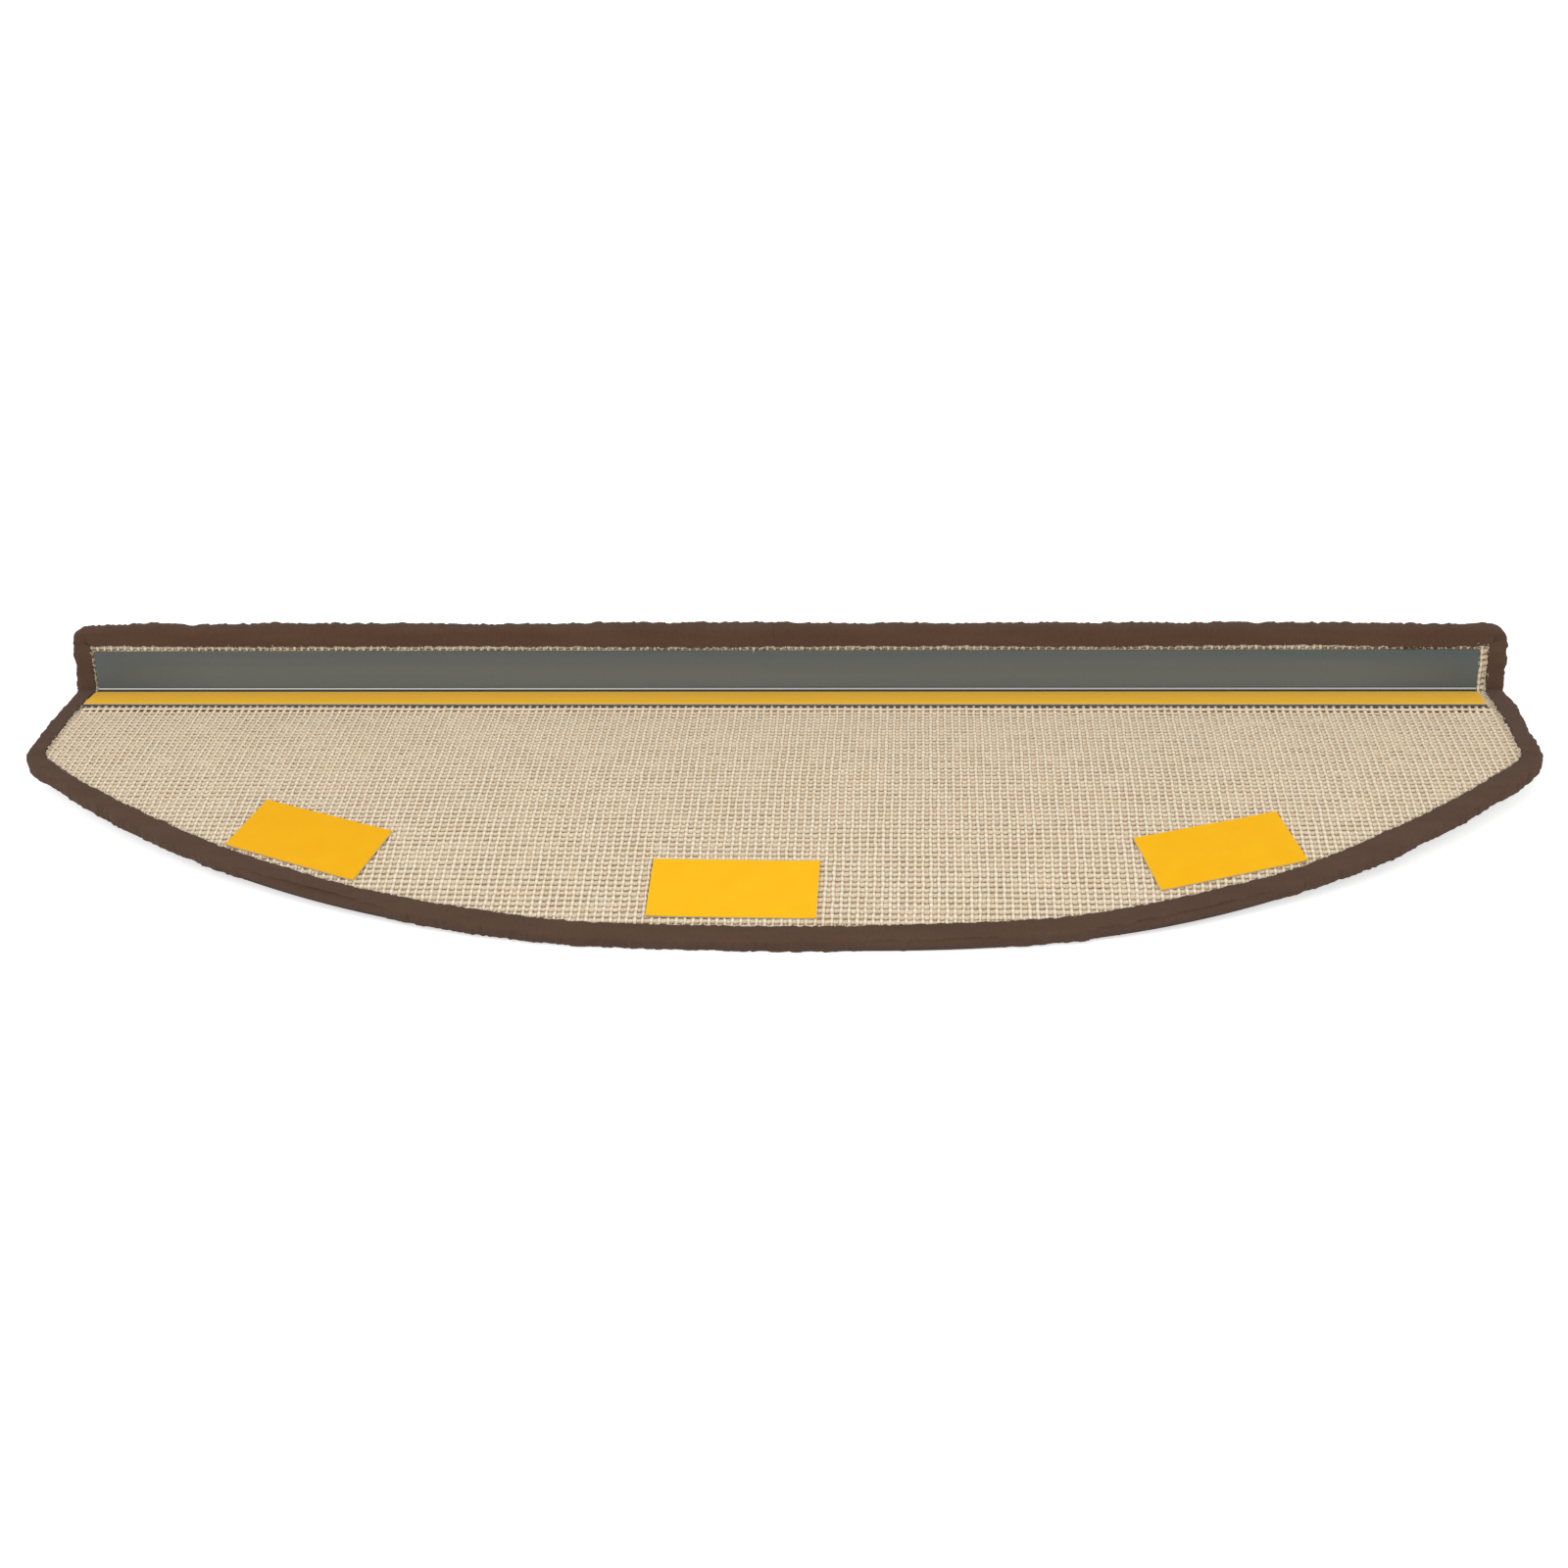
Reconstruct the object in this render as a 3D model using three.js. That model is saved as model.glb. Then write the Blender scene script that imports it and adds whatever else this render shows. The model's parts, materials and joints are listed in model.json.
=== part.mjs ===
import * as THREE from 'three';
import { ParametricGeometry } from 'three/addons/geometries/ParametricGeometry.js';

// A half-round stair tread mat, lying pile down with its nose flap standing up at the back.
// Millimetres. +X runs along the nose, -Y points at the round front edge, +Z is up.

// Mat outline, measured on the woven underside
const matWidth = 560;
const treadDepth = 158;
const sideLength = 62;
const sideCornerLength = 7.5;
const frontPeak = 19;
const frontFullness = 2.73;
const flapHeight = 26.3;
const flapCornerRadius = 6;

// Carpet
const carpetThickness = 4.6;
const foldRadius = 1.5;
const bowRadius = 355;
const weavePitch = 2.45;
const weaveDepth = 0.5;

// Serged edge binding
const bindingWidth = 6.9;
const bindingThickness = 0.75;
const bindingRounding = 1.5;
const bindingGap = 0.1;
const edgeGap = 0.3;

// Angle profile in the nose fold
const profileRise = 17;
const profileReach = 19.2;
const profileThickness = 1.2;
const profileFillet = 1;
const profileEndLeft = 8.4;
const profileEndRight = 10.9;

// Adhesive tape and release liners
const seatGap = 0.1;
const linerThickness = 0.15;
const linerOverhang = 0.2;
const profileTapeWidth = 13.6;
const profileTapeThickness = 0.25;
const profileTapeEndInset = 0.3;
const padWidth = 26.4;
const padThickness = 0.6;
const sidePadLength = 52.3;
const centrePadLength = 57.4;
const leftPadAcross = -158.4;
const centrePadAcross = -6.2;
const rightPadAcross = 159.2;
const leftPadInset = 23.1;
const centrePadInset = 23.8;
const rightPadInset = 24.9;
const rightPadTwist = -0.045;
const pads = [
  { side: 'left', across: leftPadAcross, inset: leftPadInset, length: sidePadLength, twist: 0 },
  { side: 'centre', across: centrePadAcross, inset: centrePadInset, length: centrePadLength, twist: 0 },
  { side: 'right', across: rightPadAcross, inset: rightPadInset, length: sidePadLength, twist: rightPadTwist },
];

const halfWidth = matWidth / 2;
const stackThickness = carpetThickness + bindingGap + bindingThickness;

const materials = {
  carpet: new THREE.MeshStandardMaterial({ color: 0xd8c4a4, roughness: 0.95, metalness: 0 }),
  binding: new THREE.MeshStandardMaterial({ color: 0x583f33, roughness: 0.9, metalness: 0 }),
  profile: new THREE.MeshStandardMaterial({ color: 0x5d5f58, roughness: 0.45, metalness: 0 }),
  tape: new THREE.MeshStandardMaterial({ color: 0xd9d4c6, roughness: 0.6, metalness: 0 }),
  liner: new THREE.MeshStandardMaterial({ color: 0xfbbd25, roughness: 0.55, metalness: 0 }),
};

// The front edge, as its distance from the fold at a place across the mat.
// It falls back from its peak to the two side corners by a power of the way there.
function frontEdge(x) {
  return treadDepth - (treadDepth - sideLength) * (Math.abs(x - frontPeak) / peakRun(x)) ** frontFullness;
}

// The way across from the front edge's peak to the side that a place lies on
function peakRun(x) {
  return x < frontPeak ? halfWidth + frontPeak : halfWidth - frontPeak;
}

// Turn of the front edge against the nose, at a place across the mat
function frontTurn(x) {
  const steepest = frontFullness * (treadDepth - sideLength) / peakRun(x);
  const share = Math.abs(x - frontPeak) / peakRun(x);
  return Math.sign(x - frontPeak) * Math.atan(steepest * share ** (frontFullness - 1));
}

// The mat unrolled: x across it, and y forward from the fold, negative on the flap.
// This is half of its edge, from the flap's top corner to the front edge's peak.
// The side is 1 for the right half and -1 for the left, whose x is measured the other way.
function halfOutline(inset, side) {
  const radius = Math.max(flapCornerRadius - inset, 0.4);
  const corner = new THREE.Path();
  corner.absarc(halfWidth - inset - radius, inset + radius - flapHeight, radius, -Math.PI / 2, 0, false);
  const flapCorner = corner.getPoints(4);

  const edge = [];
  const sideEnd = sideLength - sideCornerLength;
  const foldSteps = 6;
  for (let step = 0; step <= foldSteps; step++) {
    edge.push(new THREE.Vector2(halfWidth, foldRadius * (2 * step / foldSteps - 1)));
  }
  const sideSteps = 5;
  for (let step = 1; step < sideSteps; step++) {
    edge.push(new THREE.Vector2(halfWidth, THREE.MathUtils.lerp(foldRadius, sideEnd, step / sideSteps)));
  }
  const turnEnd = halfWidth - sideCornerLength;
  const sideCorner = new THREE.QuadraticBezierCurve(
    new THREE.Vector2(halfWidth, sideEnd),
    new THREE.Vector2(halfWidth, sideLength),
    new THREE.Vector2(turnEnd, frontEdge(side * turnEnd)),
  );
  edge.push(...sideCorner.getPoints(6));
  const frontSteps = 30;
  for (let step = 1; step < frontSteps; step++) {
    const x = THREE.MathUtils.lerp(turnEnd, side * frontPeak, step / (frontSteps - 0.5));
    edge.push(new THREE.Vector2(x, frontEdge(side * x)));
  }
  return [...flapCorner, ...insetPoints(edge, inset)];
}

// Points of a line moved sideways into the mat
function insetPoints(points, inset) {
  return points.map((point, index) => {
    const before = points[Math.max(index - 1, 0)];
    const after = points[Math.min(index + 1, points.length - 1)];
    const along = after.clone().sub(before).normalize();
    if (index === 0) along.set(0, 1);
    return new THREE.Vector2(point.x - along.y * inset, point.y + along.x * inset);
  });
}

// Folds and bows the unrolled mat: lift is the height over the woven face.
// The fold runs along X at the origin, with the tread leaving it along -Y and the flap along +Z.
function bend(x, forward, lift) {
  if (forward <= -foldRadius) return new THREE.Vector3(x, -lift, -forward);
  if (forward >= foldRadius) {
    const angle = (forward - foldRadius) / bowRadius;
    const radius = bowRadius + lift;
    return new THREE.Vector3(x, -foldRadius - radius * Math.sin(angle), radius * Math.cos(angle) - bowRadius);
  }
  const angle = Math.PI / 4 * (1 - forward / foldRadius);
  const radius = foldRadius - lift;
  return new THREE.Vector3(x, radius * Math.sin(angle) - foldRadius, foldRadius - radius * Math.cos(angle));
}

// Half the width of a half outline at a distance forward of the fold
function widthAt(outline, forward) {
  for (let index = 1; index < outline.length; index++) {
    const near = outline[index - 1];
    const far = outline[index];
    if (forward <= far.y) {
      const share = Math.max(forward - near.y, 0) / (far.y - near.y || 1);
      return THREE.MathUtils.lerp(near.x, far.x, share);
    }
  }
  return outline[outline.length - 1].x;
}

// Weft rows of the backing, each a shallow trapezoid, as distances forward and drops below the crowns
function weaveRows(from, to) {
  const rows = [];
  for (let start = from; start + weavePitch <= to; start += weavePitch) {
    rows.push({ forward: start, drop: 0 });
    rows.push({ forward: start + weavePitch * 0.3, drop: weaveDepth });
    rows.push({ forward: start + weavePitch * 0.5, drop: weaveDepth });
    rows.push({ forward: start + weavePitch * 0.8, drop: 0 });
  }
  return rows;
}

// The carpet is one bent sheet, with the weft rows of its backing as ridges on the woven face
function carpetGeometry() {
  const right = halfOutline(bindingThickness + edgeGap, 1);
  const left = halfOutline(bindingThickness + edgeGap, -1);
  const back = right[0].y;
  const front = right[right.length - 1].y;
  const rows = [
    ...weaveRows(back + weavePitch, -foldRadius - weavePitch / 2),
    ...weaveRows(foldRadius + weavePitch / 2, front - weavePitch),
  ];
  const dropAt = (forward) => {
    const after = rows.findIndex((row) => row.forward >= forward);
    if (after < 1) return 0;
    const near = rows[after - 1];
    const far = rows[after];
    const share = (forward - near.forward) / (far.forward - near.forward);
    return THREE.MathUtils.lerp(near.drop, far.drop, share);
  };
  const smallestStep = 0.02;
  const stations = [...rows.map((row) => row.forward), ...right.map(({ y }) => y), ...left.map(({ y }) => y)]
    .sort((a, b) => a - b)
    .filter((forward, index, all) => index === 0 || forward - all[index - 1] > smallestStep);

  const steps = stations.length - 1;
  const sheet = new THREE.BoxGeometry(1, 1, 1, 1, steps, 1);
  const position = sheet.attributes.position;
  for (let index = 0; index < position.count; index++) {
    const forward = stations[Math.round((0.5 - position.getY(index)) * steps)];
    const x = position.getX(index) > 0 ? widthAt(right, forward) : -widthAt(left, forward);
    const lift = position.getZ(index) > 0 ? -dropAt(forward) : -carpetThickness;
    const bent = bend(x, forward, lift);
    position.setXYZ(index, bent.x, bent.y, bent.z);
  }
  return sheet;
}

// Section of the binding: a C that wraps the carpet's edge, as distances in from the edge and lifts
function bindingSection() {
  const top = bindingGap + bindingThickness;
  const bottom = -stackThickness;
  const section = new THREE.Path();
  section.moveTo(bindingWidth, bindingGap);
  section.lineTo(bindingWidth, top);
  section.absarc(bindingRounding, top - bindingRounding, bindingRounding, Math.PI / 2, Math.PI, false);
  section.absarc(bindingRounding, bottom + bindingRounding, bindingRounding, Math.PI, Math.PI * 1.5, false);
  section.lineTo(bindingWidth, bottom);
  section.lineTo(bindingWidth, bottom + bindingThickness);
  section.lineTo(bindingThickness, bottom + bindingThickness);
  section.lineTo(bindingThickness, bindingGap);
  return section.getPoints(3);
}

// The binding's section carried round the whole edge of the mat, up and over the flap
function bindingGeometry() {
  const section = bindingSection();
  const rings = section.map(({ x: inset }) => {
    const left = halfOutline(inset, -1).map(({ x, y }) => new THREE.Vector2(-x, y));
    return [...halfOutline(inset, 1), ...left.reverse()];
  });
  const stations = rings[0].length;
  const surface = (along, around, target) => {
    const corner = Math.round(around * section.length) % section.length;
    const station = Math.round(along * stations) % stations;
    const { x, y } = rings[corner][station];
    target.copy(bend(x, y, section[corner].y));
  };
  return new ParametricGeometry(surface, stations, section.length);
}

// An extrusion of a section that is drawn as forward and up, laid along X
function extrudeAlongX(shape, from, to) {
  const geometry = new THREE.ExtrudeGeometry(shape, { depth: to - from, bevelEnabled: false, curveSegments: 5 });
  const axes = new THREE.Matrix4().makeBasis(
    new THREE.Vector3(0, -1, 0),
    new THREE.Vector3(0, 0, 1),
    new THREE.Vector3(-1, 0, 0),
  );
  return geometry.applyMatrix4(axes).translate(to, 0, 0);
}

const profileLeft = -halfWidth + profileEndLeft;
const profileRight = halfWidth - profileEndRight;

// L section with a round outer corner that sits in the fold and a small fillet inside
function profileGeometry() {
  const outer = foldRadius;
  const inner = seatGap + profileThickness;
  const reach = seatGap + profileReach;
  const rise = seatGap + profileRise;
  const shape = new THREE.Shape();
  shape.moveTo(seatGap + outer, seatGap);
  shape.lineTo(reach, seatGap);
  shape.lineTo(reach, inner);
  shape.lineTo(inner + profileFillet, inner);
  shape.absarc(inner + profileFillet, inner + profileFillet, profileFillet, -Math.PI / 2, -Math.PI, true);
  shape.lineTo(inner, rise);
  shape.lineTo(seatGap, rise);
  shape.lineTo(seatGap, seatGap + outer);
  shape.absarc(seatGap + outer, seatGap + outer, outer, Math.PI, Math.PI * 1.5, false);
  return extrudeAlongX(shape, profileLeft, profileRight);
}

// A flat strip on the tread leg of the profile
function profileStripGeometry(bottom, thickness) {
  const front = seatGap + profileReach - profileTapeEndInset;
  const back = front - profileTapeWidth;
  const shape = new THREE.Shape();
  shape.moveTo(back, bottom);
  shape.lineTo(front, bottom);
  shape.lineTo(front, bottom + thickness);
  shape.lineTo(back, bottom + thickness);
  return extrudeAlongX(shape, profileLeft + profileTapeEndInset, profileRight - profileTapeEndInset);
}

function addPiece(group, name, geometry, material) {
  const piece = new THREE.Mesh(geometry, material);
  piece.name = name;
  group.add(piece);
  return piece;
}

// One adhesive pad and its liner, set on the bowed weave and turned along the front edge
function padGroup({ side, across, inset, length, twist }) {
  const turn = frontTurn(across);
  const forward = frontEdge(across) - inset / Math.cos(turn);
  const pad = new THREE.Group();
  pad.position.copy(bend(across, forward, seatGap));
  pad.rotation.set((forward - foldRadius) / bowRadius, 0, turn + twist, 'XYZ');
  const tape = new THREE.BoxGeometry(length, padWidth, padThickness);
  const liner = new THREE.BoxGeometry(length + linerOverhang, padWidth + linerOverhang, linerThickness);
  addPiece(pad, `pad_tape_${side}`, tape, materials.tape).position.z = padThickness / 2;
  const linerHeight = padThickness + seatGap + linerThickness / 2;
  addPiece(pad, `pad_liner_${side}`, liner, materials.liner).position.z = linerHeight;
  return pad;
}

// The turn that lets the mat rest on the binding at its nose and at the middle of its front
function restTurn() {
  const noseRadius = foldRadius + stackThickness;
  const reach = (treadDepth - foldRadius - bindingRounding) / bowRadius;
  const radius = bowRadius - stackThickness;
  const along = radius * Math.sin(reach);
  const down = radius * Math.cos(reach) - bowRadius - foldRadius;
  return Math.asin(-noseRadius / Math.hypot(along, down)) - Math.atan2(down, along);
}

const mat = new THREE.Group();
mat.rotation.x = -restTurn();
addPiece(mat, 'carpet', carpetGeometry(), materials.carpet);
addPiece(mat, 'edge_binding', bindingGeometry(), materials.binding);
addPiece(mat, 'angle_profile', profileGeometry(), materials.profile);
const tapeBottom = seatGap + profileThickness + seatGap;
const linerBottom = tapeBottom + profileTapeThickness + seatGap;
addPiece(mat, 'profile_tape', profileStripGeometry(tapeBottom, profileTapeThickness), materials.tape);
addPiece(mat, 'profile_liner', profileStripGeometry(linerBottom, linerThickness), materials.liner);
pads.forEach((pad) => mat.add(padGroup(pad)));

// The origin is the middle of the base
const group = new THREE.Group();
group.add(mat);
const bounds = new THREE.Box3().setFromObject(group, true);
const centre = bounds.getCenter(new THREE.Vector3());
mat.position.set(-centre.x, -centre.y, -bounds.min.z);

export default group;
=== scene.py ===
import bpy
import json
import math
import numpy as np
from mathutils import Matrix, Vector

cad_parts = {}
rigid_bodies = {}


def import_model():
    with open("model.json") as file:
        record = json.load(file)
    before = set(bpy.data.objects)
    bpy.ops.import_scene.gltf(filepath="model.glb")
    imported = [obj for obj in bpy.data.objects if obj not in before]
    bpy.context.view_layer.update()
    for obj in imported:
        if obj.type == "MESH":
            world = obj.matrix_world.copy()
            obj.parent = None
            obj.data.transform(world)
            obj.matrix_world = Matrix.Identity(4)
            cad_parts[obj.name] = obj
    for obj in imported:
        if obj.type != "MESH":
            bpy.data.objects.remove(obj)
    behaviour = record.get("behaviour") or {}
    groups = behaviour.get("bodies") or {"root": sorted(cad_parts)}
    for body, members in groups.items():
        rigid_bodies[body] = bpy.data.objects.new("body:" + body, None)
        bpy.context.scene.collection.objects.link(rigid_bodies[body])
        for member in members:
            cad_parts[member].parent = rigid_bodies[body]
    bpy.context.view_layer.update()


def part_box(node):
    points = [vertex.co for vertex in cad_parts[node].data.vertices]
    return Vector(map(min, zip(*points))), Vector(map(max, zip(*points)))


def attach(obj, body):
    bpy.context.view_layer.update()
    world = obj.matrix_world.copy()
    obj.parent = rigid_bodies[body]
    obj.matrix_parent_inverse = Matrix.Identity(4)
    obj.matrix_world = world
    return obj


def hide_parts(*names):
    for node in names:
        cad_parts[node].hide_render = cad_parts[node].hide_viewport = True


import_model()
mm = 0.001

# The mat's own measures, the same as the solids have
mat = dict(
    halfWidth=280 * mm, treadDepth=158 * mm, sideLength=62 * mm, sideCorner=7.5 * mm,
    frontPeak=19 * mm, fullness=2.73, flapHeight=26.3 * mm, flapCorner=6 * mm, leastCorner=0.4 * mm,
    thickness=4.6 * mm, foldRadius=1.5 * mm, bowRadius=355 * mm,
)
profile = dict(
    rise=17 * mm, reach=19.2 * mm, wall=1.2 * mm, fillet=1 * mm, seat=0.1 * mm,
    leftEnd=8.4 * mm, rightEnd=10.9 * mm, edgeRound=0.22 * mm,
)
strip = dict(width=13.6 * mm, tape=0.25 * mm, liner=0.15 * mm, endInset=0.3 * mm, layerGap=0.02 * mm)
binding = dict(
    width=6.9 * mm, yarn=0.75 * mm, rounding=1.5 * mm, lipRound=0.3 * mm, gap=0.1 * mm,
    step=0.45 * mm, wrapPitch=1.35 * mm, wrapHeight=0.08 * mm, slant=0.55,
    lump=0.62 * mm, lumpSize=3.6 * mm, wave=0.45 * mm, waveSize=11 * mm,
    fineLump=0.85 * mm, fineSize=1.2 * mm, lumpReach=0.45, liftShare=0.4,
    creep=0.4 * mm, creepSize=9 * mm, creepFine=0.75 * mm, creepFineSize=1.3 * mm,
    # where it was sewn wider or narrower, in mm: across, forward, spread, how much further out and further in
    uneven=(
        (-190, -26, 75, 0.95, 0.6), (-30, -26, 75, 1.0, 1.0), (130, -26, 70, 0.55, 1.0),
        (250, -26, 30, -0.4, 1.5), (280, -24, 5, -1.5, 0), (280, 14, 7, 1.6, 0), (-280, -2, 6, 1.3, 0),
        (270, 76, 9, 1.3, 0), (281, 50, 13, 0.8, 0), (280, 27, 6, 0.7, 0), (-280, 50, 11, -0.6, 0),
        (-246, 70, 20, 0, -2.0), (-262, 76, 9, -0.8, 0), (-166, 132, 15, -1.4, 0.4),
        (-144, 140, 17, -2.1, 0), (-250, -26, 12, 0.6, 0), (65, 155, 28, -1.4, 0.9),
        (140, 136, 24, -1.9, 0.9), (164, 139, 12, -0.7, 0.5), (218, 112, 18, 1.1, 0.5),
        (246, 92, 12, 0.9, 0), (-60, 152, 25, 0.6, -0.9),
        (-247, 92, 3.5, 0, 1.1), (-232, 103, 3, 0, 0.8), (-217, 111, 3.5, 0, 1.2), (-239, 98, 3, 0, -0.7),
        (-224, 107, 3, 0, -0.6),
    ),
)


# Numbers from 0 to 1 that change smoothly over a plane, the same in every run
def softNoise(x, y, size, seed):
    table = np.random.default_rng(seed).random((256, 256))
    u, v = np.asarray(x) / size, np.asarray(y) / size
    iu, iv = np.floor(u).astype(int), np.floor(v).astype(int)
    fu, fv = u - iu, v - iv
    fu, fv = fu * fu * (3 - 2 * fu), fv * fv * (3 - 2 * fv)
    near = table[iu % 256, iv % 256] * (1 - fu) + table[(iu + 1) % 256, iv % 256] * fu
    far = table[iu % 256, (iv + 1) % 256] * (1 - fu) + table[(iu + 1) % 256, (iv + 1) % 256] * fu
    return near * (1 - fv) + far * fv


# How far the mat turns so that it rests on its nose and its front edge
def restTurn():
    stack = mat["thickness"] + binding["gap"] + binding["yarn"]
    reach = (mat["treadDepth"] - mat["foldRadius"] - binding["rounding"]) / mat["bowRadius"]
    along = (mat["bowRadius"] - stack) * math.sin(reach)
    down = (mat["bowRadius"] - stack) * math.cos(reach) - mat["bowRadius"] - mat["foldRadius"]
    return math.asin(-(mat["foldRadius"] + stack) / math.hypot(along, down)) - math.atan2(down, along)


# From the fold's own axes (across, forward, up off the tread) to the frame
turn = restTurn()
linerLow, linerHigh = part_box("profile_liner")
linerForward = profile["seat"] + profile["reach"] - strip["endInset"] - strip["width"] / 2
linerUp = 3 * profile["seat"] + profile["wall"] + strip["tape"] + strip["liner"] / 2
foldY = (linerLow[1] + linerHigh[1]) / 2 + linerForward * math.cos(turn) - linerUp * math.sin(turn)
foldZ = (linerLow[2] + linerHigh[2]) / 2 - linerForward * math.sin(turn) - linerUp * math.cos(turn)


def place(x, forward, up):
    x, forward, up = np.broadcast_arrays(*[np.asarray(value, float) for value in (x, forward, up)])
    y = foldY - forward * math.cos(turn) + up * math.sin(turn)
    z = foldZ + forward * math.sin(turn) + up * math.cos(turn)
    return np.stack([x, y, z], -1)


# The flat mat folded along its nose and bowed: lift is the height over the woven face
def bend(x, forward, lift):
    x, forward, lift = np.broadcast_arrays(*[np.asarray(value, float) for value in (x, forward, lift)])
    fold, bow = mat["foldRadius"], mat["bowRadius"]
    angle = (forward - fold) / bow
    treadOut, treadUp = fold + (bow + lift) * np.sin(angle), (bow + lift) * np.cos(angle) - bow
    quarter = math.pi / 4 * (1 - forward / fold)
    foldOut, foldUp = fold - (fold - lift) * np.sin(quarter), fold - (fold - lift) * np.cos(quarter)
    onTread, onFlap = forward >= fold, forward <= -fold
    out = np.where(onTread, treadOut, np.where(onFlap, lift, foldOut))
    up = np.where(onTread, treadUp, np.where(onFlap, -forward, foldUp))
    return place(x, out, up)


def frontEdge(x):
    off = np.asarray(x) - mat["frontPeak"]
    run = mat["halfWidth"] + np.where(off < 0, 1, -1) * mat["frontPeak"]
    return mat["treadDepth"] - (mat["treadDepth"] - mat["sideLength"]) * (abs(off) / run) ** mat["fullness"]


def frontTurn(x):
    off = x - mat["frontPeak"]
    run = mat["halfWidth"] + (mat["frontPeak"] if off < 0 else -mat["frontPeak"])
    steepest = mat["fullness"] * (mat["treadDepth"] - mat["sideLength"]) / run
    return math.copysign(math.atan(steepest * (abs(off) / run) ** (mat["fullness"] - 1)), off)


# Directions in the flat mat turned by a quarter
def sideways(directions):
    return np.stack([-directions[:, 1], directions[:, 0]], -1)


# Half of the flat mat's edge, from the middle of the flap's top to the front edge's peak
def halfEdge(inset, side, step):
    half, high, fold = mat["halfWidth"], mat["flapHeight"], mat["foldRadius"]
    radius = max(mat["flapCorner"] - inset, mat["leastCorner"])

    def spread(length):
        return np.linspace(0, 1, max(2, round(length / step)), endpoint=False)

    t = spread(half - mat["flapCorner"])
    topEdge = np.stack([t * (half - inset - radius), 0 * t + inset - high], -1)
    t = (spread(mat["flapCorner"] * math.pi / 2) - 1) * math.pi / 2
    cornerX = half - inset - radius + radius * np.cos(t)
    corner = np.stack([cornerX, inset - high + radius * (1 + np.sin(t))], -1)
    t = spread(high - mat["flapCorner"] - fold)
    flapSide = np.stack([0 * t + half - inset, (inset + radius - high) * (1 - t) - fold * t], -1)
    t = spread((fold + mat["thickness"]) * math.pi / 2)
    foldSide = np.stack([0 * t + half - inset, fold * (2 * t - 1)], -1)

    sideEnd, turnEnd = mat["sideLength"] - mat["sideCorner"], half - mat["sideCorner"]
    t = spread(sideEnd - fold)
    treadSide = np.stack([0 * t + half, fold + t * (sideEnd - fold)], -1)
    t = spread(1.7 * mat["sideCorner"])[:, None]             # about the corner's length
    bendStart, bendMiddle = np.array([half, sideEnd]), np.array([half, mat["sideLength"]])
    bendEnd = np.array([turnEnd, float(frontEdge(side * turnEnd))])
    sideTurn = (1 - t) ** 2 * bendStart + 2 * t * (1 - t) * bendMiddle + t ** 2 * bendEnd
    peak = side * mat["frontPeak"]
    t = np.linspace(0, 1, round(1.09 * (turnEnd - peak) / step))    # the front edge is 1.09 times as long
    across = turnEnd + (peak - turnEnd) * t
    front = np.stack([across, frontEdge(side * across)], -1)
    tread = np.concatenate([treadSide, sideTurn, front])
    along = np.gradient(tread, axis=0)
    along[0], along[-1] = (0, 1), (-1, 0)
    along /= np.linalg.norm(along, axis=1)[:, None]
    tread = tread + inset * sideways(along)
    return np.concatenate([topEdge, corner, flapSide, foldSide, tread]) * [side, 1]


def wholeEdge(inset, step):
    right, left = halfEdge(inset, 1, step), halfEdge(inset, -1, step)
    return np.concatenate([right, left[1:-1][::-1]])


# How wide the flat mat is to each side, at places forward of the fold
def reachAt(forward, inset, side):
    edge = halfEdge(inset, side, 1 * mm) * [side, 1]
    cornerOn = edge[:, 1] >= inset - mat["flapHeight"] + 0.01 * mm
    return np.interp(forward, edge[cornerOn, 1], edge[cornerOn, 0])


# How far forward the flat mat goes, at places across it
def forwardAt(x, inset):
    right, left = halfEdge(inset, 1, 1 * mm), halfEdge(inset, -1, 1 * mm)
    front = np.concatenate([left[left[:, 1] > 2 * mm], right[right[:, 1] > 2 * mm][::-1]])
    return np.interp(x, front[:, 0], front[:, 1])


# Quads of a grid whose points run row by row
def gridQuads(rows, columns, closeRows=False, closeColumns=False, start=0):
    r = np.arange(rows if closeRows else rows - 1)[:, None]
    c = np.arange(columns if closeColumns else columns - 1)[None, :]
    nextR, nextC = (r + 1) % rows, (c + 1) % columns
    quads = np.stack([r * columns + c, r * columns + nextC, nextR * columns + nextC, nextR * columns + c], -1)
    return start + quads.reshape(-1, 4)


def addPiece(name, points, quads, material, node, caps=(), smooth=True):
    mesh = bpy.data.meshes.new(name)
    points = np.asarray(points, np.float32).reshape(-1, 3)
    faces = quads.tolist() + [list(cap) for cap in caps]
    mesh.from_pydata(points.tolist(), [], faces)
    mesh.polygons.foreach_set("use_smooth", [smooth] * len(mesh.polygons))
    mesh.materials.append(material)
    mesh.validate()
    mesh.update()
    piece = bpy.data.objects.new(name, mesh)
    bpy.context.scene.collection.objects.link(piece)
    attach(piece, "root")
    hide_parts(node)
    return piece


# Where painted shade darkens the backing: forward of the fold toward the nose, and out to the two ends
paintedShadeReach = dict(
    back=(120 * mm, 25 * mm), fold=(2 * mm, 10 * mm), ends=(110 * mm, 270 * mm), backShare=0.6, endsShare=0.4,
)


# Shader maths as plain Python on node outputs
class Wire:
    def __init__(self, shader, socket):
        self.shader, self.socket = shader, socket

    def math(self, operation, first, second):
        return self.shader.node("ShaderNodeMath", {"operation": operation}, {0: first, 1: second})

    def __add__(self, other):
        return self.math("ADD", self, other)

    def __radd__(self, other):
        return self.math("ADD", other, self)

    def __sub__(self, other):
        return self.math("SUBTRACT", self, other)

    def __rsub__(self, other):
        return self.math("SUBTRACT", other, self)

    def __mul__(self, other):
        return self.math("MULTIPLY", self, other)

    def __rmul__(self, other):
        return self.math("MULTIPLY", other, self)

    def __abs__(self):
        return self.math("ABSOLUTE", self, 0.0)


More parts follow.
